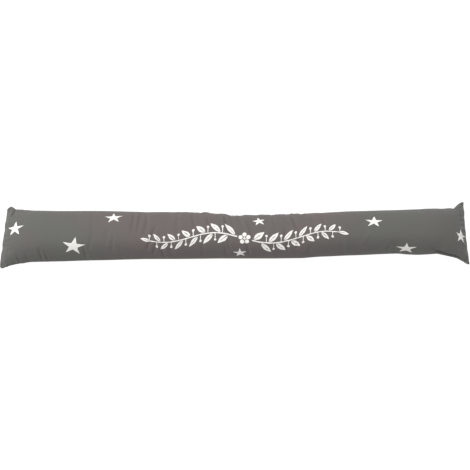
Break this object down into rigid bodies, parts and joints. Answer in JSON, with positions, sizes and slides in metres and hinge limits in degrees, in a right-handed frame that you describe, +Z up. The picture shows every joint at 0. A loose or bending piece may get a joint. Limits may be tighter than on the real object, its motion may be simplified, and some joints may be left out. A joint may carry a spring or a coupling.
{
  "type": "draught excluder",
  "caption": "Long stuffed cloth tube that lies along the foot of a door to keep draughts out, sewn flat across both ends, with a printed upper side.",
  "frame": {"origin": "middle of the footprint, on the surface that the cushion lies on", "axes": "+X along the tube, +Y to the back, where the long seam runs, +Z up"},
  "size_m": [0.9, 0.1313, 0.067],
  "materials": {
    "cloth": "dull grey woven polyester with a white print of stars"
  },
  "bodies": {
    "root": {"cushion": "cloth"}
  },
  "joints": []
}
